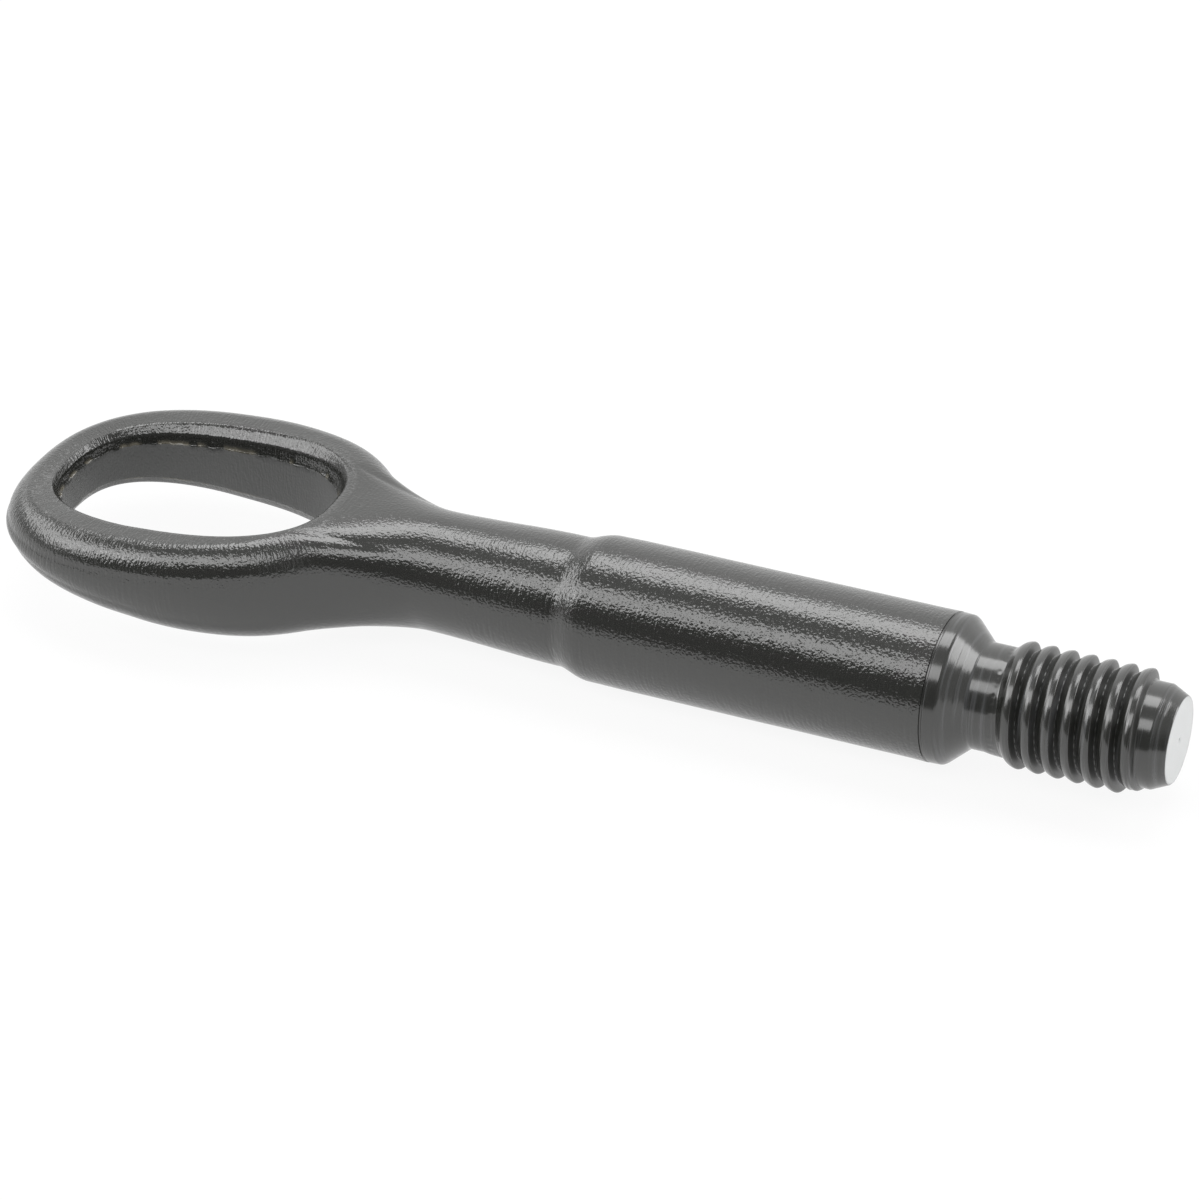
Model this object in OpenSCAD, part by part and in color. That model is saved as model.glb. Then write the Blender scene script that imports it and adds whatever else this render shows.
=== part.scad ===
// Screw-in tow eye: one steel forging with an oval eye, a flared neck, a stepped round shank,
// a turned collar and undercut, a coarse rounded right-hand thread and a short pilot.
// The part lies along X, the eye at the low end and the threaded tip at the high end, +Z up.

/* [Eye] */
// Length of the hole along the shank
hole_l = 48.2; // [42:0.2:56]
// Width of the hole across the shank
hole_w = 28.2; // [23:0.2:34]
// Squareness of the hole's outline, where 2 is a plain ellipse
hole_sq = 2.65; // [2:0.05:2.9]
// Width of the ring at its free end
end_w = 9.4; // [8.4:0.1:12]
// Width of the ring at its two sides
side_w = 10.8; // [9.8:0.1:13]
// Width of the ring at the neck
root_w = 11.7; // [10:0.1:14]
// Squareness of the ring's outer outline towards its free end
end_sq = 2.4; // [2:0.05:2.6]
// Squareness of the ring's outer outline towards the neck
root_sq = 2.1; // [2:0.05:2.6]
// How much fuller the ring is on one side of the neck than on the other
root_lean = 0.07; // [0:0.01:0.1]
// Distance that the ring's widest point lies beyond the middle of the hole
wide_shift = 0.5; // [0:0.1:6]
// Thickness of the ring at its free end
end_t = 10.4; // [9.6:0.1:14]
// Thickness of the ring at the neck
root_t = 19.2; // [17:0.1:20]
// Radius along the ring's outer edges
edge_r = 4.6; // [3:0.1:4.7]
// Height of the crown on the ring's outer wall
crown = 0.5; // [0.2:0.1:1]
// Width of the upper bevel round the hole, at the sides and the neck
bevel_w = 2.5; // [1.5:0.1:3.5]
// Width of the upper bevel at the free end
bevel_end_w = 1; // [0.8:0.1:2]
// How much wider the bevel on the underside is
under_w = 2; // [0:0.1:2.2]
// Height of the punched wall at the free end
wall_end_h = 5.6; // [4:0.1:7]
// Height of the punched wall at the neck
wall_root_h = 10.6; // [8:0.1:12]

/* [Neck and shank] */
// Diameter where the neck becomes round
neck_d = 20.1; // [19:0.1:21]
// Length of the flare from the round neck to the ring
neck_l = 15; // [13.5:0.5:18]
// Width of the flare where it runs into the ring
flare_w = 28; // [26:0.2:30]
// Diameter of the slim shank at the shoulder
slim_d = 21.6; // [21:0.1:22.5]
// Length of the slim shank
slim_l = 24.9; // [18:0.1:35]
// Length of the rounded shoulder
shoulder_l = 5.4; // [4:0.1:8]
// Diameter of the guide section
guide_d = 24.2; // [23.4:0.1:26]
// Length of the guide section
guide_l = 58.2; // [45:0.1:70]

/* [Collar and undercut] */
// Width of the turned groove before the collar
groove_w = 0.5; // [0.3:0.1:1]
// Depth of the turned groove
groove_h = 0.2; // [0.1:0.05:0.5]
// Length of the collar's rim
collar_l = 1.9; // [1:0.1:3]
// Diameter of the undercut
undercut_d = 16.9; // [16:0.1:17.2]
// Length of the undercut
undercut_l = 4.4; // [3:0.1:7]

/* [Thread] */
// Outer diameter of the thread
thread_d = 19.8; // [19.2:0.1:20.4]
// Core diameter of the thread
core_d = 16.8; // [16.4:0.1:17]
// Pitch of the thread
pitch = 3.175; // [2.8:0.025:3.4]
// Number of turns of the thread, with its run-outs
turns = 6.9; // [4:0.1:9]
// Share of a turn in which the thread rises to full height
run_out = 0.35; // [0.2:0.05:0.6]

/* [Tip] */
// Diameter of the pilot
pilot_d = 16.5; // [15.6:0.1:16.7]
// Length of the pilot
pilot_l = 2.7; // [2:0.1:5]
// Diameter of the end face
tip_d = 13.9; // [11:0.1:15]
// Length of the chamfer at the tip
tip_l = 2.6; // [1.5:0.1:4]
// Diameter of the centre mark on the end face
mark_d = 0.8; // [0.4:0.1:2]

/* [Hidden] */
$fn = 96;
ring_steps = 72;
bevel_steps = 3;
edge_steps = 4;
neck_rings = 14;
neck_sides = 40;
turn_steps = 30;
// a small depth by which one shape runs into the next
lap = 0.4;
// how soon the upper bevel grows from its width at the free end to its full width
bevel_grow = 2;
// how much the bevel round the hole bulges
bevel_bow = 0.5;
// how far the flare's wide end lies inside the ring's outer outline
flare_in = 6;
// how far the flare runs on into the ring
flare_lap = 2.5;
// length over which the flare drops below the ring's two faces, and how far it drops
sink_l = 8;
sink_h = 4.2;
// how late the flare widens, and its squareness at the wide end
flare_late = 1.8;
flare_sq = 2.6;
// share to which the flare's last section shrinks inside the round shank
flare_inset = 0.94;
// how early the shoulder rises, and the number of its steps
shoulder_early = 0.8;
shoulder_steps = 8;
// shares of the pitch at the ridge's foot, knee and crest, each to one side
foot_share = 0.42;
knee_share = 0.22;
crest_share = 0.09;
// height of the knee as a share of the ridge
knee_h = 0.7;
// depth under the core, and share of its width, at which the ridge fades out
fade_h = 0.25;
fade_w = 0.5;
// turns before the ridge starts, and the angle at which it starts
lead_in = 0.1;
start_angle = -162;

// stations along the shank, measured from the free end of the eye
hole_x = end_w + hole_l / 2;
wide_x = hole_x - wide_shift;
root_x = end_w + hole_l + root_w;
round_x = root_x + neck_l - flare_in;
shoulder_x = round_x + slim_l;
guide_x = shoulder_x + shoulder_l;
collar_x = guide_x + guide_l;
chamfer_x = collar_x + collar_l;
undercut_x = chamfer_x + (guide_d - undercut_d) / 2;
thread_x = undercut_x + undercut_l;
thread_l = turns * pitch;
pilot_x = thread_x + thread_l;
chamfer_tip_x = pilot_x + pilot_l;
total_l = chamfer_tip_x + tip_l;

axis_z = guide_d / 2;
thread_h = (thread_d - core_d) / 2;

function mix(a, b, f) = a + (b - a) * f;
function clamp01(f) = min(1, max(0, f));
function signed_pow(v, p) = sign(v) * pow(abs(v), p);

// a point of a superellipse with half-axes a and b at parameter t
function super_point(t, a, b, sq) = [a * signed_pow(cos(t), 2 / sq), b * signed_pow(sin(t), 2 / sq)];

function hole_point(t) = [hole_x, 0] + super_point(t, hole_l / 2, hole_w / 2, hole_sq);

// the ring's outer outline is blunt towards its free end and longer towards the neck
function outer_point(t) =
    let (
        half = hole_w / 2 + side_w,
        p = cos(t) < 0
            ? super_point(t, wide_x, half, end_sq)
            : super_point(t, root_x - wide_x, half, root_sq)
    )
    [wide_x + p[0] + root_lean * p[1] * max(0, cos(t)), p[1]];

// share of the way from the thin free end to the thick neck end
function rise(x) = clamp01(x / (end_w + hole_l));

// Half of the ring's section as [distance out from the hole's wall, height over the middle]:
// a punched wall, a bevel, a narrow crest and a rounded outer edge.
function half_section(w, h, wall, bevel) = concat(
    [for (i = [0 : bevel_steps])
        let (f = i / bevel_steps)
        [bevel * f, wall + (h - wall) * (f + bevel_bow * f * (1 - f))]],
    [for (i = [0 : edge_steps])
        let (a = 90 - 90 * i / edge_steps)
        [w - crown - edge_r * (1 - cos(a)), h - edge_r * (1 - sin(a))]]
);

function flip(list) = [for (i = [len(list) - 1 : -1 : 0]) [list[i][0], -list[i][1]]];

// the ring's section at parameter t, set from the hole's outline to the outer outline
function ring_section(t) =
    let (
        inner = hole_point(t),
        outer = outer_point(t),
        w = norm(outer - inner),
        out = (outer - inner) / w,
        f = rise((inner[0] + outer[0]) / 2),
        h = mix(end_t, root_t, f) / 2,
        wall = mix(wall_end_h, wall_root_h, f) / 2,
        bevel = mix(bevel_end_w, bevel_w, clamp01(bevel_grow * f)),
        upper = half_section(w, h, wall, bevel),
        under = half_section(w, h, wall, bevel + under_w)
    )
    [for (p = concat(upper, [[w, 0]], flip(under)))
        [inner[0] + out[0] * p[0], inner[1] + out[1] * p[0], p[1]]];

// faces between sections of n points, with end caps or closed on itself
function tube_faces(rings, n, closed) = concat(
    [for (i = [0 : rings - (closed ? 1 : 2)], j = [0 : n - 1])
        let (k = (i + 1) % rings, m = (j + 1) % n)
        each [[i * n + j, k * n + j, k * n + m], [i * n + j, k * n + m, i * n + m]]],
    closed ? [] : [[for (j = [0 : n - 1]) j], [for (j = [n - 1 : -1 : 0]) (rings - 1) * n + j]]
);

module ring() {
    sections = [for (i = [0 : ring_steps - 1]) ring_section(360 * i / ring_steps)];
    n = len(sections[0]);
    polyhedron([for (s = sections) each s], tube_faces(ring_steps, n, true), convexity = 6);
}

// The flare: rounded sections that narrow from the ring to the round neck
// and end just inside the slim shank.
flare_x = round_x - neck_l;
flare_start_x = flare_x - flare_lap;
flare_end_x = round_x + lap;

function flare_section(x) =
    let (
        f = clamp01((round_x - x) / neck_l),
        b = mix(neck_d, flare_w, pow(f, flare_late)) / 2,
        sunk = clamp01((flare_x + sink_l - x) / (sink_l + flare_lap)),
        h = mix(neck_d, root_t - sink_h, sunk * sunk) / 2,
        shrink = x > round_x ? flare_inset : 1,
        sq = mix(2, flare_sq, f)
    )
    [for (j = [0 : neck_sides - 1])
        let (p = super_point(360 * (j + 0.5) / neck_sides, b * shrink, h * shrink, sq))
        [x, p[0], p[1]]];

module flare() {
    xs = concat(
        [for (i = [0 : neck_rings - 1]) mix(flare_start_x, round_x, i / (neck_rings - 1))],
        [flare_end_x]
    );
    polyhedron([for (x = xs) each flare_section(x)], tube_faces(len(xs), neck_sides, false), convexity = 4);
}

// Outline of everything that is turned or round, as [station, radius].
function shoulder_arc(steps) =
    [for (i = [0 : steps])
        let (f = i / steps, up = (1 - cos(180 * pow(f, shoulder_early))) / 2)
        [mix(shoulder_x, guide_x, f), mix(slim_d, guide_d, up) / 2]];

function round_outline() = concat(
    [[round_x - lap / 2, 0], [round_x - lap / 2, neck_d / 2 - lap / 4]],
    shoulder_arc(shoulder_steps),
    [
        [collar_x - groove_w, guide_d / 2],
        [collar_x - groove_w / 2, guide_d / 2 - groove_h],
        [collar_x, guide_d / 2],
        [chamfer_x, guide_d / 2],
        [undercut_x, undercut_d / 2],
        [thread_x, undercut_d / 2],
        [thread_x, core_d / 2],
        [pilot_x, core_d / 2],
        [pilot_x, pilot_d / 2],
        [chamfer_tip_x, pilot_d / 2],
        [total_l, tip_d / 2],
        [total_l, mark_d / 2],
        [total_l - mark_d / 2, 0]
    ]
);

module round_body() {
    rotate([0, 90, 0])
        rotate_extrude()
            polygon([for (p = round_outline()) [p[1], p[0]]]);
}

// One section of the thread's ridge as [offset along the shank, radius],
// with f the share of its full height.
function ridge_section(f) =
    let (
        root = core_d / 2 - lap,
        top = core_d / 2 + mix(-fade_h, thread_h, f),
        knee = mix(root, top, knee_h),
        w = pitch * mix(fade_w, 1, f)
    )
    [
        [foot_share * w, root],
        [knee_share * w, knee],
        [crest_share * w, top],
        [-crest_share * w, top],
        [-knee_share * w, knee],
        [-foot_share * w, root]
    ];

// The right-hand ridge climbs one pitch a turn and fades into the core at both ends.
module ridge() {
    ridge_turns = turns - lead_in;
    steps = ceil(ridge_turns * turn_steps);
    first_x = thread_x + lead_in * pitch;
    rings = [for (i = [0 : steps])
        let (
            turn = ridge_turns * i / steps,
            a = start_angle + 360 * turn,
            f = min(1, turn / run_out, (ridge_turns - turn) / run_out)
        )
        [for (p = ridge_section(f)) [first_x + pitch * turn + p[0], p[1] * cos(a), p[1] * sin(a)]]];
    polyhedron([for (r = rings) each r], tube_faces(len(rings), 6, false), convexity = 12);
}

// The whole forging, turned and threaded, as one solid.
module tow_eye() {
    color([0.14, 0.14, 0.15])
        translate([-total_l / 2, 0, axis_z])
            union() {
                ring();
                flare();
                round_body();
                ridge();
            }
}

tow_eye();
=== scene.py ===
import math
import bpy
import numpy as np
from mathutils import Matrix, Vector


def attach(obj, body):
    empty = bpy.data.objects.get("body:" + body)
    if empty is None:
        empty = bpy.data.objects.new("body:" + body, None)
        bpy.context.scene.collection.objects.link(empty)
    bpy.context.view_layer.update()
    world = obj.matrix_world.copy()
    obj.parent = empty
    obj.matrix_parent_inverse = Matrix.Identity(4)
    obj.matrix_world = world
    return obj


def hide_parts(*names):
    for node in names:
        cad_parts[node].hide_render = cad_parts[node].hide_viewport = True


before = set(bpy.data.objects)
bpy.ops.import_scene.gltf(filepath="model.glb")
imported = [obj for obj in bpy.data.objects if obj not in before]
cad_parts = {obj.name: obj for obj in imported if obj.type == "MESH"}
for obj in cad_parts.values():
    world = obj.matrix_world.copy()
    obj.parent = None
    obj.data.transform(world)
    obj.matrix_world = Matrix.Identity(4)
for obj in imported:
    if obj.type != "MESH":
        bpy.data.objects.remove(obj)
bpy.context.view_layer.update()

# Screw-in tow eye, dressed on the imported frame. Everything is worked out in millimetres from the
# eye's free end (the station) and put into metres in the row's frame at the end.
# "forging" is the ring, neck, slim shank and guide section as one closed skin;
# "turnedEnd" is the collar, undercut, thread and tip. Together they stand for the one CAD node.

ring = dict(
    holeLong=48.2, holeWide=28.2, holeSquare=2.65,         # the punched hole
    endWidth=9.4, sideWidth=10.8, rootWidth=11.7,          # width of the ring
    endSquare=2.4, rootSquare=2.1, widestShift=0.5,        # the outer outline's form at its two ends
    rootLean=0.07,                                         # fuller on the far side of the neck
    endThick=10.4, rootThick=19.2, thickSoft=0.004,        # the growth stops softly at the neck's end
    edgeRadius=4.6, edgeSquare=1.62, crown=0.5,            # rounded outer edge; square 2 is a circle
    bevelWidth=2.5, bevelEndWidth=1.0, bevelGrow=2.0, underMore=2.0,
    bevelForm=((0, 0), (0.22, 0.56), (0.82, 0.936), (1, 1)),   # steep, flatter, then the crease
    wallEnd=5.6, wallRoot=10.6, wallShare=0.93,            # height of the punched wall, and of its plain rows
    burrHigh=0.11, burrWide=0.25,                          # the ragged lip the punch left
    lipOver=0.35, lipInset=0.05, lipTop=0.9, lipFoot=0.15,
    raggedSizes=(0.8, 2.9), raggedSeeds=(3, 4), raggedShare=0.7,
    lipLeast=0.75, lipVary=0.45, wallVary=0.14,
    glintSize=1.7, glintSeed=9, glintSoft=0.5,             # where the lip gets a painted glint (pale colour), less towards the neck
    glintLoss=0.5, glintFrom=12, glintTo=40,
    around=400,                                            # steps round the ring
    wallSteps=10, lipRows=3, bevelSteps=14, crestSteps=5, edgeSteps=11, outerSteps=12,
    closingRow=0.6,                                        # uv step that closes the section
)
neck = dict(
    windowSteps=40,                                        # steps to each side that open into the neck
    roundDia=20.1, length=15.0, inside=6.0,                # the same as the source's flare
    nearPull=7.0, farPull=12.0, endPull=12.0,              # how far the two ends steer the flow
    angleShare=0.65,                                       # how far a column keeps its own angle
    rows=34, smoothRounds=260, smoothReach=9.0, smoothEnd=0.8,
    smoothStep=0.5, smoothBack=0.44,
    streakEnd=0.5, streakLong=14,                          # the streaks stop in the neck and start again
)
shank = dict(
    slimDia=21.6, slimLong=24.9, shoulderLong=5.4, shoulderEarly=0.8,
    guideDia=24.2, guideTipDia=24.0, guideLong=58.2,
    rowLong=0.52,
)
turned = dict(
    grooveWide=0.5, grooveDeep=0.25, collarLong=1.9, collarDia=23.9,
    undercutDia=16.9, undercutLong=4.4,
    threadDia=19.8, coreDia=16.8, pitch=3.175, turns=6.9, startAngle=-162.0,
    leadIn=0.1, runOut=0.35, runOn=0.45,                   # in turns: the start, each fade, and the last hump
    # the ridge over one pitch, as shares of pitch and height: gentle towards the eye, steep towards the tip
    form=((-0.83, 0), (-0.77, 0.04), (-0.60, 0.38), (-0.44, 0.69), (-0.30, 0.86), (-0.15, 0.965), (-0.04, 1),
          (0.02, 0.95), (0.07, 0.64), (0.12, 0.22), (0.15, 0.04), (0.17, 0)),
    formShift=-0.02, formBlur=0.012,
    steepFrom=(-0.02, 0.03), steepTo=(0.14, 0.18),         # the steep side, in pitches from the crest
    brokenSize=0.7, brokenDeep=0.045, brokenSeed=5,        # the surface broken up at the thread's start
    brokenEarly=0.3, brokenLong=0.6,
    pilotDia=16.5, pilotLong=2.7, tipDia=13.9, tipLong=2.6,
    # rings of the end face from the edge to the centre mark: radius and depth
    face=((6.6, 0), (5.6, 0), (4.2, 0), (2.8, 0), (1.4, 0),
          (0.62, 0), (0.42, 0.05), (0.30, 0.22), (0.14, 0.22)),
    markDeep=0.24, edgeBare=0.6,
    meanRadius=9.0, around=220,
    edgeRow=0.06, collarRow=0.1, chamferRow=0.2, undercutRow=0.08,
    plainRow=0.16, threadRow=0.085, leastRow=0.03,
)
rough = dict(
    swell=0.07, swellSize=15.0,                            # slow unevenness of the forging
    lump=0.022, lumpSize=4.5,
    seed=7,
    guideLoss=0.5, guideFade=6, grooveFrom=3, grooveTo=0.5,
)
sharpAngle = 50

# stations along the shank
holeX = ring["endWidth"] + ring["holeLong"] / 2
widestX = holeX - ring["widestShift"]
rootX = ring["endWidth"] + ring["holeLong"] + ring["rootWidth"]
roundX = rootX + neck["length"] - neck["inside"]
shoulderX = roundX + shank["slimLong"]
guideX = shoulderX + shank["shoulderLong"]
collarX = guideX + shank["guideLong"]
grooveX = collarX - turned["grooveWide"]
chamferX = collarX + turned["collarLong"]
undercutX = chamferX + (shank["guideDia"] - turned["undercutDia"]) / 2
threadX = undercutX + turned["undercutLong"]
pilotX = threadX + turned["turns"] * turned["pitch"]
tipChamferX = pilotX + turned["pilotLong"]
totalLong = tipChamferX + turned["tipLong"]
axisHigh = shank["guideDia"] / 2


# a + (b - a) * f
def mix(a, b, f):
    return a + (b - a) * f


# 0 below a, 1 above b, and 3f^2 - 2f^3 between
def ease(a, b, x):
    f = np.clip((x - a) / (b - a), 0, 1)
    return f * f * (3 - 2 * f)


# |v|^p with the sign of v
def signedPow(v, p):
    return np.sign(v) * np.abs(v) ** p


# superellipse: (a cos^(2/q) t, b sin^(2/q) t)
def superPoint(t, a, b, q):
    return np.stack([a * signedPow(np.cos(t), 2 / q), b * signedPow(np.sin(t), 2 / q)], -1)


# Smooth value noise in space: random numbers on a repeating cubic lattice of the given size,
# blended between the eight corners round each point with 3f^2 - 2f^3.
def valueNoise(points, size, seed):
    side, offset = 32, 100.0
    rng = np.random.default_rng(seed)
    lattice = rng.uniform(-1, 1, (side, side, side))
    q = points / size + offset
    i = np.floor(q).astype(int)
    f = q - i
    f = f * f * (3 - 2 * f)
    total = np.zeros(points.shape[:-1])
    for a in (0, 1):
        for b in (0, 1):
            for c in (0, 1):
                w = (
                    (f[..., 0] if a else 1 - f[..., 0])
                    * (f[..., 1] if b else 1 - f[..., 1])
                    * (f[..., 2] if c else 1 - f[..., 2])
                )
                total += w * lattice[(i[..., 0] + a) % side, (i[..., 1] + b) % side, (i[..., 2] + c) % side]
    return total


# value noise along a line: the same noise at the points (distance, 0, 0)
def lineNoise(distance, size, seed):
    return valueNoise(np.stack([distance, 0 * distance, 0 * distance], -1), size, seed)


# distance from the first of a row of points to each of them, along the line that joins them
def lengthAlong(points):
    return np.concatenate([[0], np.cumsum(np.linalg.norm(np.diff(points, axis=0), axis=1))])


# uv of quads: the values along the skin and round it at each of the four corners, in pairs
def cornerUv(alongs, rounds):
    return np.stack([np.stack(pair, -1) for pair in zip(alongs, rounds)], 1)


# hole outline and outer outline at the same parameter t; the outer one is blunt at the free end
def ringOutlines(t):
    hole = superPoint(t, ring["holeLong"] / 2, ring["holeWide"] / 2, ring["holeSquare"])
    hole[..., 0] += holeX
    half = ring["holeWide"] / 2 + ring["sideWidth"]
    outer = np.where(
        (np.cos(t) < 0)[..., None],
        superPoint(t, widestX, half, ring["endSquare"]),
        superPoint(t, rootX - widestX, half, ring["rootSquare"]),
    )
    outer[..., 0] += widestX + ring["rootLean"] * outer[..., 1] * np.maximum(np.cos(t), 0)
    return hole, outer


# Half of the ring's section, in rows from the middle of the wall to the middle of the outer wall:
# wall up to the punch's lip, the bevel, crest, rounded edge, crowned outer wall. Gives each row's
# distance out from the hole's wall and its height over the middle.
def halfSection(w, h, zb, bevel, lip):
    d, z = [], []
    for f in np.linspace(0, 1, ring["wallSteps"] + 1)[ring["wallSteps"] // 2:]:
        d.append(0 * w)
        z.append(zb * (2 * f - 1) * ring["wallShare"])
    # the lip: out over the hole a little, then down into the foot of the bevel
    d += [-ring["lipOver"] * lip, ring["lipInset"] + 0 * w, ring["burrWide"] + 0 * w]
    z += [zb, zb + ring["lipTop"] * lip, zb + ring["lipFoot"] * lip]
    # the bevel: steep over the wall, then a flatter slope that turns into the crest
    across, up = np.array(ring["bevelForm"]).T
    for f in np.linspace(0, 1, ring["bevelSteps"] + 1)[1:]:
        d.append(mix(ring["burrWide"], bevel, f))
        z.append(mix(zb, h, np.interp(f, across, up)))
    edgeIn = w - ring["crown"] - ring["edgeRadius"]
    for f in np.linspace(0, 1, ring["crestSteps"] + 1)[1:-1]:
        d.append(mix(bevel, edgeIn, f))
        z.append(h + 0 * w)
    for a in np.linspace(math.pi / 2, 0, ring["edgeSteps"] + 1):
        d.append(edgeIn + ring["edgeRadius"] * abs(math.cos(a)) ** (2 / ring["edgeSquare"]))
        z.append(h - ring["edgeRadius"] * (1 - math.sin(a) ** (2 / ring["edgeSquare"])))
    for f in np.linspace(1, 0, ring["outerSteps"] // 2 + 1)[1:]:
        d.append(w - ring["crown"] * f * f)
        z.append((h - ring["edgeRadius"]) * f)
    return np.stack(d, 1), np.stack(z, 1)


# Skin of the ring at every t: the upper half of the section with its ragged lip, and the lower half
# mirrored with a plain lip and a wider bevel, both set between the hole's outline and the outer one.
# Gives the points, the kind of each row (0 wall, 1 lip, 2 bevel, 3 crest and edge, 4 outer wall) and
# the distance along the outer outline.
def ringSkin(t):
    hole, outer = ringOutlines(t)
    span = outer - hole
    w = np.linalg.norm(span, axis=-1)
    out = span / w[:, None]
    # grows evenly with the station, from about 0 at the free end, and is held at 1 past the hole
    rise = (hole[:, 0] + outer[:, 0]) / 2 / (ring["endWidth"] + ring["holeLong"])
    rise = (rise + 1 - np.sqrt((rise - 1) ** 2 + ring["thickSoft"])) / 2
    h = mix(ring["endThick"], ring["rootThick"], rise) / 2
    zb = mix(ring["wallEnd"], ring["wallRoot"], rise) / 2
    arcLong = lengthAlong(outer)
    (fineSize, slowSize), (fineSeed, slowSeed) = ring["raggedSizes"], ring["raggedSeeds"]
    slow = ring["raggedShare"] * lineNoise(arcLong, slowSize, slowSeed)
    ragged = lineNoise(arcLong, fineSize, fineSeed) + slow
    bevel = mix(ring["bevelEndWidth"], ring["bevelWidth"], np.clip(ring["bevelGrow"] * rise, 0, 1))
    lip = ring["burrHigh"] * (ring["lipLeast"] + ring["lipVary"] * ragged)
    d, z = halfSection(w, h, zb + ring["wallVary"] * ragged, bevel, lip)
    dUnder, zUnder = halfSection(w, h, zb, bevel + ring["underMore"], 0 * lip)
    crestRows = ring["crestSteps"] + ring["edgeSteps"]
    wallRows, outerRows = ring["wallSteps"] // 2 + 1, ring["outerSteps"] // 2
    kind = np.repeat(np.arange(5.0), (wallRows, ring["lipRows"], ring["bevelSteps"], crestRows, outerRows))
    # the first and last rows lie on the middle plane and are used once
    d = np.concatenate([d, dUnder[:, -2:0:-1]], 1)
    z = np.concatenate([z, -zUnder[:, -2:0:-1]], 1)
    kind = np.concatenate([kind, kind[-2:0:-1]])
    points = np.stack([hole[:, None, 0] + out[:, None, 0] * d, hole[:, None, 1] + out[:, None, 1] * d, z], -1)
    return points, kind, arcLong


# distance of every point to the nearest of a few others
def nearestGap(points, others):
    nearest = np.full(len(points), 1e9)
    for part in np.array_split(np.arange(len(others)), 8):
        gap = np.linalg.norm(points[:, None] - others[None, part], axis=-1).min(1)
        nearest = np.minimum(nearest, gap)
    return nearest


# Each round moves a point by smoothStep times its weight towards the mean of its neighbours, and
# every other round back again by smoothBack, a little less, so that bumps go and the form stays.
def smoothed(points, quads, weight, rounds):
    a = quads.ravel()
    b = np.roll(quads, -1, axis=1).ravel()
    a, b = np.concatenate([a, b]), np.concatenate([b, a])
    number = np.bincount(a, minlength=len(points))[:, None]
    steps = (neck["smoothStep"], -neck["smoothBack"])
    for turn in range(rounds):
        mean = np.stack([np.bincount(a, points[b, k], len(points)) for k in range(3)], -1)
        mean /= np.maximum(number, 1)
        points = points + steps[turn % 2] * weight[:, None] * (mean - points)
    return points


# Cubic through A and B with directions TA and TB: the four Hermite weights at each v.
def hermite(a, b, ta, tb, v):
    v = v[:, None, None]
    v2, v3 = v * v, v * v * v
    return (
        (2 * v3 - 3 * v2 + 1) * a + (v3 - 2 * v2 + v) * ta + (-2 * v3 + 3 * v2) * b + (v3 - v2) * tb
    )


# radius of the forged shank at a station: neck, slow rise, S-shaped shoulder, guide with a faint taper
def shankRadius(x):
    slim = mix(neck["roundDia"], shank["slimDia"], ease(roundX, shoulderX, x))
    f = np.clip((x - shoulderX) / shank["shoulderLong"], 0, 1) ** shank["shoulderEarly"]
    guide = mix(shank["guideDia"], shank["guideTipDia"], np.clip((x - guideX) / shank["guideLong"], 0, 1))
    return mix(slim, guide, (1 - np.cos(math.pi * f)) / 2) / 2


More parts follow.
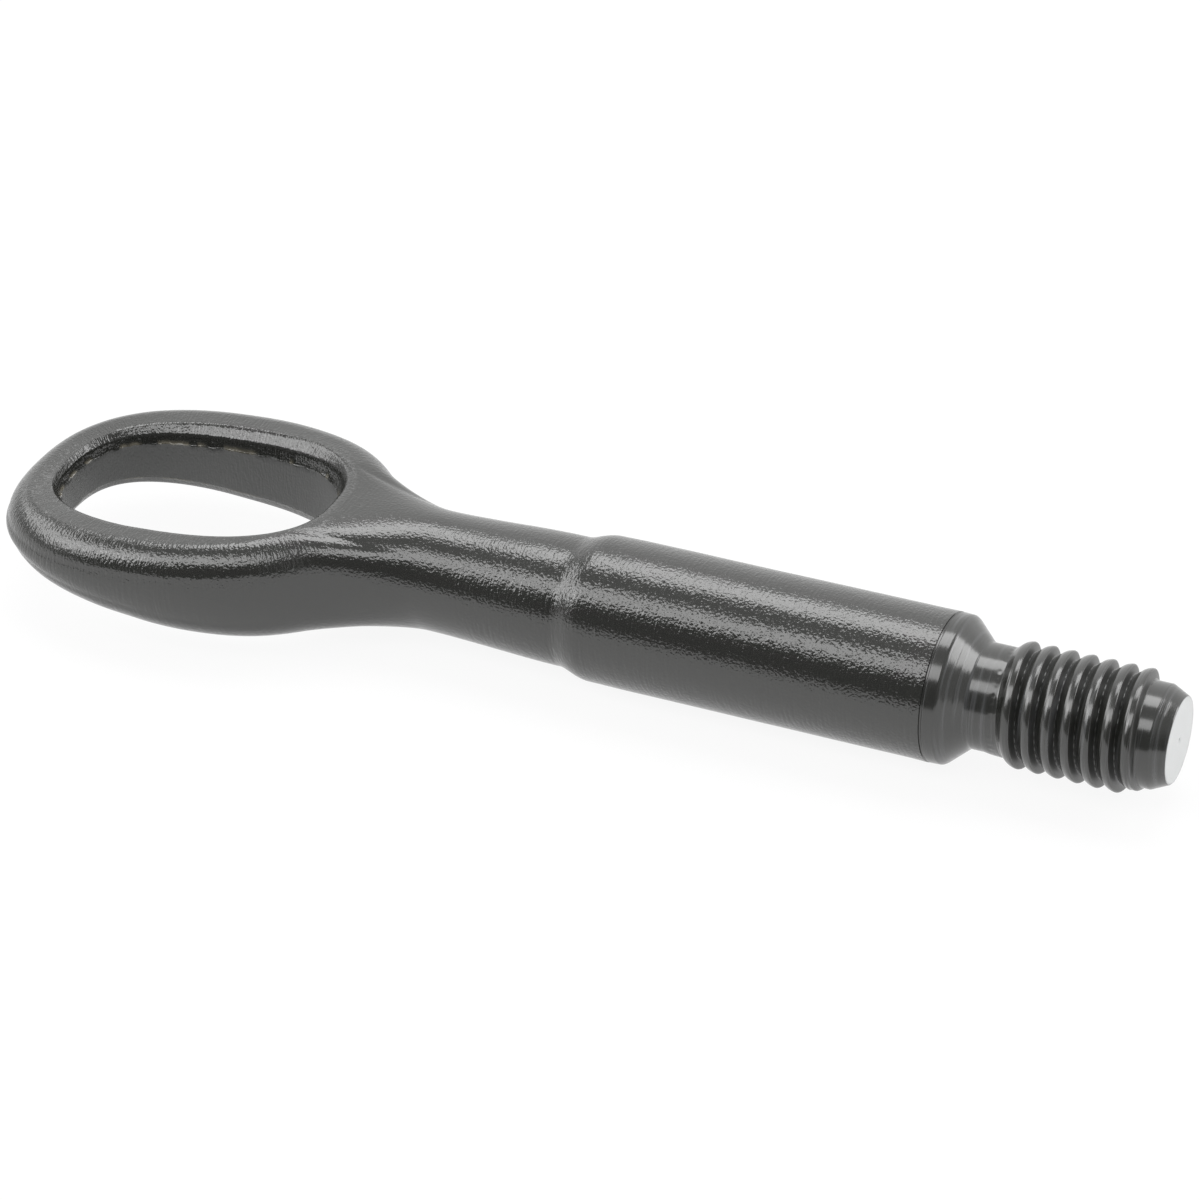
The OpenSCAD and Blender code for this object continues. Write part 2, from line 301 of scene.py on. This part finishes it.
# The forging's skin: the ring's grid with a window cut in its outer side, a flow of rows from the
# window's edge to a circle, and rows along the shank to the groove, closed by a flat cap.
def makeForging():
    n, half = ring["around"], neck["windowSteps"]
    t = np.linspace(-math.pi, math.pi, n, endpoint=False)
    body, kind, arcLong = ringSkin(t)
    m = body.shape[1]
    mid = n // 2                                           # the ring's step that faces the neck
    edgeIn = ring["wallSteps"] // 2 + 1 + ring["lipRows"] + ring["bevelSteps"] + 1
    top, low = edgeIn, m - edgeIn                          # rows of the crest, above and below
    left, right = mid - half, mid + half

    ids = np.arange(n * m).reshape(n, m)
    # the window's edge, walked round once: over the top from the near side to the far side and back below
    iTop = np.arange(left, right + 1)
    edge = np.concatenate([
        ids[iTop, top],
        ids[right, np.arange(top + 1, low + 1)],
        ids[iTop[::-1][1:], low],
        ids[left, np.arange(low - 1, top, -1)],
    ])
    flat = body.reshape(-1, 3)
    start = flat[edge]
    count = len(edge)

    # directions in which the flow leaves the window: along the ring's outline at the sides, and
    # turning towards the shank over the top and below
    def sideways(a, b):
        away = body[a, top:low + 1] - body[b, top:low + 1]
        return away / np.linalg.norm(away, axis=-1, keepdims=True)

    farDir, nearDir = sideways(right - 1, right), sideways(left + 1, left)
    u = np.linspace(-1, 1, 2 * half + 1)[:, None]
    ahead = np.array([1.0, 0.0, 0.0])

    def across(nearSide, farSide):
        turnedDir = mix(ahead, np.where(u > 0, farSide, nearSide), u * u)
        return turnedDir / np.linalg.norm(turnedDir, axis=1, keepdims=True)

    over, under = across(nearDir[0], farDir[0]), across(nearDir[-1], farDir[-1])
    direction = np.concatenate([over, farDir[1:], under[::-1][1:], nearDir[::-1][1:-1]])
    farness = (start[:, 1:2] - start[:, 1].min()) / (start[:, 1].max() - start[:, 1].min())
    pull = mix(neck["nearPull"], neck["farPull"], farness)

    # where each column reaches the circle: between its own angle and even steps, the middle on top
    even = math.pi / 2 - (np.arange(count) - half) / count * 2 * math.pi
    own = np.arctan2(start[:, 2] / start[:, 2].max(), 2 * farness[:, 0] - 1)
    own = np.unwrap(own)
    own += 2 * math.pi * np.round((even[half] - own[half]) / (2 * math.pi))
    angle = mix(even, own, neck["angleShare"])
    r0 = neck["roundDia"] / 2
    endPoint = np.stack([np.full(count, roundX), r0 * np.cos(angle), r0 * np.sin(angle)], -1)
    v = np.linspace(0, 1, neck["rows"] + 1)[1:]
    flow = hermite(
        start[None], endPoint[None],
        pull[None] * direction[None], neck["endPull"] * ahead[None, None], v,
    )
    stations = np.arange(roundX, grooveX, shank["rowLong"])[1:]
    stations = np.concatenate([stations[:-1], [grooveX]])
    radius = shankRadius(stations)
    tube = np.stack([
        np.repeat(stations[:, None], count, 1),
        radius[:, None] * np.cos(angle)[None],
        radius[:, None] * np.sin(angle)[None],
    ], -1)
    rows = np.concatenate([flow, tube])
    capCentre = np.array([[grooveX, 0.0, 0.0]])
    points = np.concatenate([flat, rows.reshape(-1, 3), capCentre])

    # faces of the ring, without the window
    i, j = np.meshgrid(np.arange(n), np.arange(m), indexing="ij")
    inWindow = (i >= left) & (i < right) & (j >= top) & (j < low)
    i, j = i[~inWindow], j[~inWindow]
    i2, j2 = (i + 1) % n, (j + 1) % m
    quads = [np.stack([ids[i, j], ids[i, j2], ids[i2, j2], ids[i2, j]], -1)]
    # uv in millimetres: u runs along the ring or the shank, v round the section
    girth = lengthAlong(body[0])
    girth = np.append(girth, girth[-1] + ring["closingRow"])
    along = np.append(arcLong, arcLong[-1] + arcLong[1])
    uv = [cornerUv(
        (along[i], along[i], along[i + 1], along[i + 1]),
        (girth[j], girth[j + 1], girth[j + 1], girth[j]),
    )]
    # faces of the flow and the shank
    first = n * m
    afterFlow = first + neck["rows"] * count
    rowIds = np.concatenate([edge[None], first + np.arange(rows.shape[0] * count).reshape(-1, count)])
    a, b = np.meshgrid(np.arange(rowIds.shape[0] - 1), np.arange(count), indexing="ij")
    a, b = a.ravel(), b.ravel()
    b2 = (b + 1) % count
    quads.append(np.stack([rowIds[a, b], rowIds[a + 1, b], rowIds[a + 1, b2], rowIds[a, b2]], -1))
    rowAlong = np.concatenate([
        np.linspace(0, neck["length"], neck["rows"] + 1),
        neck["length"] + stations - roundX,
    ])
    girthStep = 2 * math.pi * r0 / count
    uv.append(cornerUv(
        (rowAlong[a], rowAlong[a + 1], rowAlong[a + 1], rowAlong[a]),
        (b * girthStep, b * girthStep, (b + 1) * girthStep, (b + 1) * girthStep),
    ))
    quads, uv = np.concatenate(quads), np.concatenate(uv)
    # rounds of averaging with the neighbours, full in the flow and fading out over the ring's edge
    soft = np.zeros(len(points))
    soft[:first] = 1 - ease(0, neck["smoothReach"], nearestGap(flat, start))
    soft[first:afterFlow] = np.repeat(1 - ease(neck["smoothEnd"], 1.0, v), count)
    points = smoothed(points, quads, soft, neck["smoothRounds"])
    last = rowIds[-1]
    centre = len(points) - 1
    cap = np.stack([np.roll(last, -1), last, np.full(count, centre)], -1)

    # masks carried by the points: inner wall, painted glint on the punch's lip, and how strong the streaks
    # are
    wall = np.zeros(len(points))
    lipGlintMask = np.zeros(len(points))
    streak = np.ones(len(points))
    wall[:first] = np.tile((kind == 0.0).astype(float), n)
    # painted glint: the lip is coloured paler only here and there, more often at the free end, to stand for
    # highlights
    chance = lineNoise(arcLong, ring["glintSize"], ring["glintSeed"])
    loss = ring["glintLoss"] * ease(ring["glintFrom"], ring["glintTo"], body[:, 0, 0])
    glint = ease(0.0, ring["glintSoft"], chance - loss)
    lipGlintMask[:first] = (glint[:, None] * (kind == 1.0)).ravel()
    streak[first:afterFlow] = np.repeat(1 - ease(0.0, neck["streakEnd"], v), count)
    streak[afterFlow:-1] = np.repeat(ease(roundX, roundX + neck["streakLong"], stations), count)
    return points, quads, uv, cap, dict(wall=wall, lip=lipGlintMask, streak=streak)


# height of the thread's ridge over the core, from 0 to 1, at u pitches from the crest: the mean of
# five values of the form that lie formBlur apart
def ridgeForm(u):
    across, up = np.array(turned["form"]).T
    v = u - turned["formShift"]
    return sum(np.interp(v + k * turned["formBlur"], across, up) for k in (-2, -1, 0, 1, 2)) / 5


# Radius of the turned end at station x and angle a: the outline, and in the threaded part
# core + height * form(pitches from the crest), where the crest climbs one pitch a turn. The second
# result is 1 on the ridge's steep side and 0 elsewhere.
def turnedRadius(x, a):
    guideR, collarR, undercutR, coreR, pilotR, tipR = (
        size / 2 for size in (
            shank["guideTipDia"], turned["collarDia"], turned["undercutDia"],
            turned["coreDia"], turned["pilotDia"], turned["tipDia"],
        )
    )
    # station and radius of each corner, with the small steps that break or round it
    steps = [
        (grooveX, guideR),
        (grooveX + 0.08, guideR - turned["grooveDeep"]),
        (collarX - 0.12, guideR - turned["grooveDeep"]),
        (collarX, collarR + 0.02),
        (collarX + 0.5, collarR),
        (chamferX - 0.25, collarR - 0.06),
        (chamferX + 0.15, collarR - 0.30),
        (undercutX - 0.15, undercutR + 0.10),
        (undercutX + 0.20, undercutR - 0.02),
        (undercutX + 0.50, undercutR),
        (threadX, undercutR),
        (threadX + 0.15, coreR),
        (pilotX - 0.1, coreR),
        (pilotX + 0.1, pilotR),
        (tipChamferX - 0.12, pilotR),
        (tipChamferX + 0.12, pilotR - 0.10),
        (totalLong - 0.12, tipR + 0.04),
        (totalLong, tipR - 0.08),
    ]
    base = np.interp(x, [s[0] for s in steps], [s[1] for s in steps])
    p = turned["pitch"]
    ridgeTurns = turned["turns"] - turned["leadIn"] + turned["runOn"]
    # x of the crest at this angle, counted in turns from the start of the ridge
    firstX = threadX + turned["leadIn"] * p
    angleTurns = (np.degrees(a) - turned["startAngle"]) / 360
    phase = (x - firstX) / p - angleTurns
    k = np.ceil(phase - turned["form"][-1][0] - turned["formShift"])
    u = phase - k
    turn = k + angleTurns
    full = ease(0, 1, np.minimum(turn, ridgeTurns - turn) / turned["runOut"])
    high = (turned["threadDia"] - turned["coreDia"]) / 2
    # where the ridge falls off towards the tip
    steep = full * ease(*turned["steepFrom"], u) * (1 - ease(*turned["steepTo"], u))
    return base + full * high * ridgeForm(u), steep


# The turned end's skin: rows of points round the axis, closer where the outline turns, then the rings
# of the end face, closed by a flat cap at the groove and the centre mark's bottom at the tip.
def makeTurnedEnd():
    around = turned["around"]
    a = np.linspace(-math.pi, math.pi, around, endpoint=False)
    edgeRow, plainRow = turned["edgeRow"], turned["plainRow"]
    stations = np.unique(np.round(np.concatenate([
        np.arange(grooveX, collarX + 0.3, edgeRow),
        np.arange(collarX, chamferX + 0.5, turned["collarRow"]),
        np.arange(chamferX, undercutX, turned["chamferRow"]),
        np.arange(undercutX - 0.3, undercutX + 0.6, turned["undercutRow"]),
        np.arange(undercutX, threadX, plainRow),
        np.arange(threadX - 1.2, pilotX + 1.0, turned["threadRow"]),
        np.arange(pilotX, totalLong, plainRow),
        np.arange(tipChamferX - 0.3, tipChamferX + 0.3, edgeRow),
        np.arange(totalLong - 0.3, totalLong, edgeRow),
        [grooveX, totalLong],
    ]), 3))
    keep = np.concatenate([[True], np.diff(stations) > turned["leastRow"]])
    stations = stations[keep]
    stations[-1] = totalLong
    x, ang = np.meshgrid(stations, a, indexing="ij")
    # the tool broke up the surface where the thread begins
    mean = turned["meanRadius"]
    onMean = np.stack([x, mean * np.cos(ang), mean * np.sin(ang)], -1)
    broken = valueNoise(onMean, turned["brokenSize"], turned["brokenSeed"]) - 1
    near = np.exp(-(((x - threadX + turned["brokenEarly"]) / turned["brokenLong"]) ** 2))
    r, steep = turnedRadius(x, ang)
    r = r + turned["brokenDeep"] * broken * near
    grid = np.stack([x, r * np.cos(ang), r * np.sin(ang)], -1)
    # the end face: rings towards the middle, with the small centre mark
    faceR, faceDeep = np.array(turned["face"]).T
    face = np.stack([
        np.repeat((totalLong - faceDeep)[:, None], around, 1),
        faceR[:, None] * np.cos(a)[None],
        faceR[:, None] * np.sin(a)[None],
    ], -1)
    rows = np.concatenate([grid, face])
    points = np.concatenate([rows.reshape(-1, 3), [[grooveX, 0, 0], [totalLong - turned["markDeep"], 0, 0]]])
    ids = np.arange(rows.shape[0] * around).reshape(-1, around)
    i, j = np.meshgrid(np.arange(rows.shape[0] - 1), np.arange(around), indexing="ij")
    i, j = i.ravel(), j.ravel()
    j2 = (j + 1) % around
    quads = np.stack([ids[i, j], ids[i, j2], ids[i + 1, j2], ids[i + 1, j]], -1)
    girth = 2 * math.pi * mean / around
    along = np.concatenate([stations, totalLong + (turned["tipDia"] / 2 - faceR)])
    uv = cornerUv(
        (along[i], along[i], along[i + 1], along[i + 1]),
        (j * girth, (j + 1) * girth, (j + 1) * girth, j * girth),
    )
    big = len(points)
    cap = np.concatenate([
        np.stack([ids[0], np.full(around, big - 2), np.roll(ids[0], -1)], -1),
        np.stack([np.roll(ids[-1], -1), np.full(around, big - 1), ids[-1]], -1),
    ])
    # masks: the bare metal of the end face, a little of it on its edge, and the thread's steep side
    gridPoints = grid.shape[0] * around
    bare = np.zeros(big)
    bare[gridPoints:] = 1.0
    bare[gridPoints - around:gridPoints] = turned["edgeBare"]
    steep = np.concatenate([steep.ravel(), np.zeros(face.shape[0] * around + 2)])
    return points, quads, uv, cap, dict(bare=bare, steep=steep)


# Puts points, quads and triangles into a mesh with foreach_set, in metres in the row's frame, with
# the uv map in millimetres and one float attribute for each mask.
def addSkin(name, points, quads, uv, cap, masks):
    mesh = bpy.data.meshes.new(name)
    place = (points + np.array([-totalLong / 2, 0, axisHigh])) / 1000
    mesh.vertices.add(len(place))
    mesh.vertices.foreach_set("co", place.astype(np.float32).ravel())
    corners = np.concatenate([quads.ravel(), cap.ravel()])
    starts = np.concatenate([np.arange(len(quads)) * 4, len(quads) * 4 + np.arange(len(cap)) * 3])
    sizes = np.concatenate([np.full(len(quads), 4), np.full(len(cap), 3)])
    mesh.loops.add(len(corners))
    mesh.loops.foreach_set("vertex_index", corners.astype(np.int32))
    mesh.polygons.add(len(starts))
    mesh.polygons.foreach_set("loop_start", starts.astype(np.int32))
    mesh.polygons.foreach_set("loop_total", sizes.astype(np.int32))
    mesh.update(calc_edges=True)
    layer = mesh.uv_layers.new(name="skin")
    flatUv = np.concatenate([uv.reshape(-1, 2), np.zeros((cap.size, 2))])
    layer.data.foreach_set("uv", flatUv.astype(np.float32).ravel())
    for key, values in masks.items():
        mesh.attributes.new(key, "FLOAT", "POINT").data.foreach_set("value", values.astype(np.float32))
    mesh.validate()
    mesh.shade_smooth()
    mesh.set_sharp_from_angle(angle=math.radians(sharpAngle))
    obj = bpy.data.objects.new(name, mesh)
    bpy.context.collection.objects.link(obj)
    return obj


# outward normals of the points: the sum of the cross products of the faces round each, made length 1
def pointNormals(points, quads, cap):
    normals = np.zeros_like(points)
    for faces in (quads, cap):
        p = points[faces]
        if faces.shape[1] == 4:
            cross = np.cross(p[:, 2] - p[:, 0], p[:, 3] - p[:, 1])
        else:
            cross = np.cross(p[:, 1] - p[:, 0], p[:, 2] - p[:, 0])
        for k in range(faces.shape[1]):
            np.add.at(normals, faces[:, k], cross)
    return normals / np.maximum(np.linalg.norm(normals, axis=1, keepdims=True), 1e-9)


# Unevenness of the forging, swell * (noise - 1) + lump * (noise - 1): only inwards, so that it stays
# inside the CAD's box. None on the punched wall, its lip and the groove, and half on the guide.
def unevenness(points, masks):
    uneven = rough["swell"] * (valueNoise(points, rough["swellSize"], rough["seed"]) - 1)
    uneven += rough["lump"] * (valueNoise(points, rough["lumpSize"], rough["seed"] + 1) - 1)
    onGuide = ease(guideX, guideX + rough["guideFade"], points[:, 0])
    uneven *= (1 - masks["wall"]) * (1 - masks["lip"]) * (1 - rough["guideLoss"] * onGuide)
    uneven *= 1 - ease(grooveX - rough["grooveFrom"], grooveX - rough["grooveTo"], points[:, 0])
    return uneven


print("working out the forging")
points, quads, uv, cap, masks = makeForging()
points = points + pointNormals(points, quads, cap) * unevenness(points, masks)[:, None]
forging = addSkin("forging", points, quads, uv, cap, masks)
print("forging:", len(points), "points,", len(quads) * 2 + len(cap), "triangles")

print("working out the turned end")
points, quads, uv, cap, masks = makeTurnedEnd()
turnedEnd = addSkin("turnedEnd", points, quads, uv, cap, masks)
print("turned end:", len(points), "points,", len(quads) * 2 + len(cap), "triangles")

for piece in (forging, turnedEnd):
    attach(piece, "root")
    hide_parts("tow_eye")


blackCoat = dict(
    # the lip's colour is a painted glint: a pale colour that stands for highlights on the punch's lip
    colour=(0.0125, 0.0130, 0.0110), wallColour=(0.021, 0.022, 0.020), lipGlintColour=(0.11, 0.10, 0.075),
    roughness=0.145, wallRoughness=0.42, ior=1.82,
    grain={"Grain Size": 2300.0, "Streak Along": 2.2, "Streak Across": 0.55, "Streak Share": 1.2},
    grainDetail=1.0, streakDetail=1.5, reliefHeight=0.00007,
)
turnedSteel = dict(
    colour=(0.0125, 0.0130, 0.0110), bareColour=(0.55, 0.56, 0.56), lineColour=(0.050, 0.051, 0.052),
    roughness=0.17, bareRoughness=0.45, steepRoughness=0.22, ior=1.82,
    marks={"Along": 1500.0, "Round": 45.0},
    marksDetail=3.0, reliefHeight=0.00010,
    lineFrom=0.52, lineGain=6.0,                           # marks above lineFrom show as paler lines
)


# joins one node's output to another's input
def link(tree, a, b):
    tree.links.new(a, b)


# math node on sockets or plain numbers; gives its output
def mathNode(tree, operation, a, b, clamp=False):
    node = tree.nodes.new("ShaderNodeMath")
    node.operation = operation
    node.use_clamp = clamp
    for socket, value in zip(node.inputs, (a, b)):
        if isinstance(value, (int, float)):
            socket.default_value = value
        else:
            link(tree, value, socket)
    return node.outputs[0]


# empty node group with the named float inputs and one output, Height
def newGroup(name, inputs):
    group = bpy.data.node_groups.new(name, "ShaderNodeTree")
    for key, value in inputs.items():
        socket = group.interface.new_socket(name=key, in_out="INPUT", socket_type="NodeSocketFloat")
        socket.default_value = value
    group.interface.new_socket(name="Height", in_out="OUTPUT", socket_type="NodeSocketFloat")
    return group, group.nodes.new("NodeGroupInput"), group.nodes.new("NodeGroupOutput")


# the group as a node of a material, with the material's own values
def placeGroup(tree, group, values):
    node = tree.nodes.new("ShaderNodeGroup")
    node.node_tree = group
    for key, value in values.items():
        node.inputs[key].default_value = value
    return node


# noise texture on the given vector
def noiseNode(tree, vector, dimensions, detail):
    noise = tree.nodes.new("ShaderNodeTexNoise")
    noise.noise_dimensions = dimensions
    noise.inputs["Scale"].default_value = 1.0
    noise.inputs["Detail"].default_value = detail
    link(tree, vector, noise.inputs["Vector"])
    return noise


# a vector with each part multiplied by its own socket
def stretched(tree, vector, factors):
    split = tree.nodes.new("ShaderNodeSeparateXYZ")
    join = tree.nodes.new("ShaderNodeCombineXYZ")
    link(tree, vector, split.inputs[0])
    for k, factor in enumerate(factors):
        link(tree, mathNode(tree, "MULTIPLY", split.outputs[k], factor), join.inputs[k])
    return join.outputs[0]


# Group: the forged skin's fine relief, grain + (streaks - 0.5) * share. The grain is an even speckle
# in space, and the streaks are short strokes across the section from the uv map.
def buildGrain():
    group, ins, outs = newGroup("forgedGrain", blackCoat["grain"])
    coord = group.nodes.new("ShaderNodeTexCoord")
    grain = noiseNode(group, coord.outputs["Object"], "3D", blackCoat["grainDetail"])
    link(group, ins.outputs["Grain Size"], grain.inputs["Scale"])
    uvMap = group.nodes.new("ShaderNodeUVMap")
    uvMap.uv_map = "skin"
    strokes = stretched(group, uvMap.outputs[0], (ins.outputs["Streak Along"], ins.outputs["Streak Across"]))
    streaks = noiseNode(group, strokes, "2D", blackCoat["streakDetail"])
    share = mathNode(group, "MULTIPLY", ins.outputs["Streak Share"], maskNode(group, "streak"))
    stroke = mathNode(group, "MULTIPLY", mathNode(group, "SUBTRACT", streaks.outputs[0], 0.5), share)
    link(group, mathNode(group, "ADD", grain.outputs[0], stroke), outs.inputs["Height"])
    return group


# Group: turned marks. Thin rings that follow the station, from a noise that is long round the shank.
def buildTurnedMarks():
    group, ins, outs = newGroup("turnedMarks", turnedSteel["marks"])
    coord = group.nodes.new("ShaderNodeTexCoord")
    factors = (ins.outputs["Along"], ins.outputs["Round"], ins.outputs["Round"])
    rings = stretched(group, coord.outputs["Object"], factors)
    marks = noiseNode(group, rings, "3D", turnedSteel["marksDetail"])
    link(group, marks.outputs[0], outs.inputs["Height"])
    return group


# material with an empty Principled shader; gives the material, its tree and the shader
def newMaterial(name):
    material = bpy.data.materials.new(name)
    material.use_nodes = True
    tree = material.node_tree
    tree.nodes.clear()
    output = tree.nodes.new("ShaderNodeOutputMaterial")
    shader = tree.nodes.new("ShaderNodeBsdfPrincipled")
    link(tree, shader.outputs[0], output.inputs[0])
    return material, tree, shader


# value of the named mask that the points carry
def maskNode(tree, name):
    node = tree.nodes.new("ShaderNodeAttribute")
    node.attribute_name = name
    return node.outputs["Fac"]


# a + (b - a) * share, for colours
def mixColour(tree, share, a, b):
    node = tree.nodes.new("ShaderNodeMix")
    node.data_type = "RGBA"
    for socket, value in ((node.inputs[0], share), (node.inputs[6], a), (node.inputs[7], b)):
        if isinstance(value, tuple):
            socket.default_value = (*value, 1)
        else:
            link(tree, value, socket)
    return node.outputs[2]


# a + (b - a) * share, with numbers for a and b
def mixValue(tree, share, a, b):
    return mathNode(tree, "ADD", mathNode(tree, "MULTIPLY", share, b - a), a)


# gives the shader the relief of the height, which is `distance` metres deep
def bumpNormal(tree, shader, height, distance):
    bump = tree.nodes.new("ShaderNodeBump")
    bump.inputs["Strength"].default_value = 1.0
    bump.inputs["Distance"].default_value = distance
    link(tree, height, bump.inputs["Height"])
    link(tree, bump.outputs[0], shader.inputs["Normal"])


# glossy black coat: grainy, duller on the punched wall, and a painted glint of paler colour on the lip here
# and there
def blackCoatMaterial(grainGroup):
    material, tree, shader = newMaterial("forgedBlackCoat")
    grain = placeGroup(tree, grainGroup, blackCoat["grain"])
    wall, lip = maskNode(tree, "wall"), maskNode(tree, "lip")
    colour = mixColour(tree, wall, blackCoat["colour"], blackCoat["wallColour"])
    # painted glint: paler colour on the lip where its mask is set, standing for highlights
    colour = mixColour(tree, lip, colour, blackCoat["lipGlintColour"])
    link(tree, colour, shader.inputs["Base Color"])
    roughness = mixValue(tree, wall, blackCoat["roughness"], blackCoat["wallRoughness"])
    link(tree, roughness, shader.inputs["Roughness"])
    bumpNormal(tree, shader, grain.outputs["Height"], blackCoat["reliefHeight"])
    shader.inputs["IOR"].default_value = blackCoat["ior"]
    return material


# turned black steel: fine rings, the higher ones as paler lines, and a bare end face
def turnedMaterial(marksGroup):
    material, tree, shader = newMaterial("turnedBlackSteel")
    height = placeGroup(tree, marksGroup, turnedSteel["marks"]).outputs["Height"]
    bare = maskNode(tree, "bare")
    above = mathNode(tree, "SUBTRACT", height, turnedSteel["lineFrom"])
    line = mathNode(tree, "MULTIPLY", above, turnedSteel["lineGain"], clamp=True)
    dark = mixColour(tree, line, turnedSteel["colour"], turnedSteel["lineColour"])
    link(tree, mixColour(tree, bare, dark, turnedSteel["bareColour"]), shader.inputs["Base Color"])
    # the thread's steep side is a little rougher than the rest
    steepPart = mixValue(tree, maskNode(tree, "steep"), 0.0, turnedSteel["steepRoughness"])
    roughness = mixValue(tree, bare, turnedSteel["roughness"], turnedSteel["bareRoughness"])
    link(tree, mathNode(tree, "ADD", roughness, steepPart), shader.inputs["Roughness"])
    bumpNormal(tree, shader, height, turnedSteel["reliefHeight"])
    shader.inputs["IOR"].default_value = turnedSteel["ior"]
    return material


print("making the finishes")
forging.data.materials.append(blackCoatMaterial(buildGrain()))
turnedEnd.data.materials.append(turnedMaterial(buildTurnedMarks()))


studio = dict(
    floorSize=6.0, floorColour=(0.86, 0.86, 0.86), floorWhite=0.91,
    farBox=dict(toward=(-0.10, 0.35, 0.94), away=0.9, size=(1.0, 0.42), power=4.8),
    nearBox=dict(toward=(-0.25, -0.56, 0.79), away=0.9, size=(1.3, 0.34), power=3.9),
    leftBox=dict(toward=(-0.86, -0.17, 0.46), away=0.9, size=(0.95, 0.32), power=2.7),
    rightBox=dict(toward=(0.785, 0.341, 0.516), away=0.9, size=(0.50, 0.40), power=2.5),
    aimHigh=0.012, sideways=0.7,                           # a box further to the side than this lies along y
    farSky=1.15, nearSky=0.18, topSky=0.50, skyStrength=1.5,
    nearEnds=0.12, topStarts=0.30, topEnds=0.62, farStarts=0.80,
)
photoCamera = dict(
    lens=115.88, sensor=36.0, clip=(0.05, 20), away=0.62, aim=(0.005014, 0.000609, 0.013088),
    right=(0.90595, 0.42120, -0.04308), up=(-0.20755, 0.53046, 0.82191), back=(0.36903, -0.73567, 0.56799),
)


# White floor: a matt surface that catches the shadows, mixed with plain white where the camera or a
# reflection sees it.
def makeFloor():
    s = studio["floorSize"] / 2
    mesh = bpy.data.meshes.new("floor")
    mesh.from_pydata([(-s, -s, 0), (s, -s, 0), (s, s, 0), (-s, s, 0)], [], [(0, 1, 2, 3)])
    floor = bpy.data.objects.new("floor", mesh)
    bpy.context.collection.objects.link(floor)
    material = bpy.data.materials.new("paleFloor")
    material.use_nodes = True
    tree = material.node_tree
    tree.nodes.clear()
    output = tree.nodes.new("ShaderNodeOutputMaterial")
    matt = tree.nodes.new("ShaderNodeBsdfDiffuse")
    matt.inputs[0].default_value = (*studio["floorColour"], 1)
    white = tree.nodes.new("ShaderNodeEmission")
    white.inputs[1].default_value = 1.0
    both = tree.nodes.new("ShaderNodeMixShader")
    path = tree.nodes.new("ShaderNodeLightPath")
    seen = mathNode(tree, "MAXIMUM", path.outputs["Is Camera Ray"], path.outputs["Is Glossy Ray"])
    seen = mathNode(tree, "MAXIMUM", seen, path.outputs["Is Transmission Ray"])
    link(tree, mathNode(tree, "MULTIPLY", seen, studio["floorWhite"]), both.inputs[0])
    link(tree, matt.outputs[0], both.inputs[1])
    link(tree, white.outputs[0], both.inputs[2])
    link(tree, both.outputs[0], output.inputs[0])
    mesh.materials.append(material)


# Sky that is pale behind the part, dimmer overhead and dark low down on the camera's side. The ramp
# holds each level divided by the strength, so that no colour in it passes 1.
def makeSky():
    world = bpy.data.worlds.new("studioSky")
    bpy.context.scene.world = world
    world.use_nodes = True
    tree = world.node_tree
    tree.nodes.clear()
    output = tree.nodes.new("ShaderNodeOutputWorld")
    back = tree.nodes.new("ShaderNodeBackground")
    link(tree, back.outputs[0], output.inputs[0])
    coord = tree.nodes.new("ShaderNodeTexCoord")
    split = tree.nodes.new("ShaderNodeSeparateXYZ")
    link(tree, coord.outputs["Generated"], split.inputs[0])
    ramp = tree.nodes.new("ShaderNodeValToRGB")
    stops = ramp.color_ramp.elements
    strength = studio["skyStrength"]
    near, top, far = ((studio[key] / strength,) * 3 + (1,) for key in ("nearSky", "topSky", "farSky"))
    stops[0].position, stops[0].color = 0.0, near
    stops[1].position, stops[1].color = 1.0, far
    for key, colour in (("nearEnds", near), ("topStarts", top), ("topEnds", top), ("farStarts", far)):
        stops.new(studio[key]).color = colour
    # from -1..1 towards the far side to 0..1 along the ramp
    link(tree, mathNode(tree, "ADD", mathNode(tree, "MULTIPLY", split.outputs[1], 0.5), 0.5), ramp.inputs[0])
    link(tree, ramp.outputs[0], back.inputs[0])
    back.inputs[1].default_value = strength


# turn whose x, y and z axes are the three directions
def turnOf(right, up, back):
    return Matrix((right, up, back)).transposed().to_quaternion()


# soft box that hangs at the distance `away` in the direction `toward` and faces the part
def addBox(name, toward, away, size, power):
    light = bpy.data.lights.new(name, "AREA")
    light.shape = "RECTANGLE"
    light.size, light.size_y = size
    light.energy = power
    lamp = bpy.data.objects.new(name, light)
    bpy.context.collection.objects.link(lamp)
    back = Vector(toward).normalized()
    lamp.location = back * away + Vector((0, 0, studio["aimHigh"]))
    across = Vector((0, 1, 0)) if abs(back.x) > studio["sideways"] else Vector((1, 0, 0))
    up = back.cross(across).normalized()
    across = up.cross(back).normalized()
    lamp.rotation_mode = "QUATERNION"
    lamp.rotation_quaternion = turnOf(across, up, back)


# the camera found from the photograph: 0.62 m away, level but for three degrees of roll
def makeCamera():
    data = bpy.data.cameras.new("photoCamera")
    data.sensor_width = photoCamera["sensor"]
    data.lens = photoCamera["lens"]
    data.clip_start, data.clip_end = photoCamera["clip"]
    camera = bpy.data.objects.new("photoCamera", data)
    bpy.context.collection.objects.link(camera)
    right, up, back = (Vector(photoCamera[key]) for key in ("right", "up", "back"))
    camera.rotation_mode = "QUATERNION"
    camera.rotation_quaternion = turnOf(right, up, back)
    camera.location = Vector(photoCamera["aim"]) + back * photoCamera["away"]
    bpy.context.scene.camera = camera


print("making the studio")
makeFloor()
makeSky()
for name in ("farBox", "nearBox", "leftBox", "rightBox"):
    addBox(name, **studio[name])
makeCamera()
bpy.context.scene.view_settings.view_transform = "Standard"
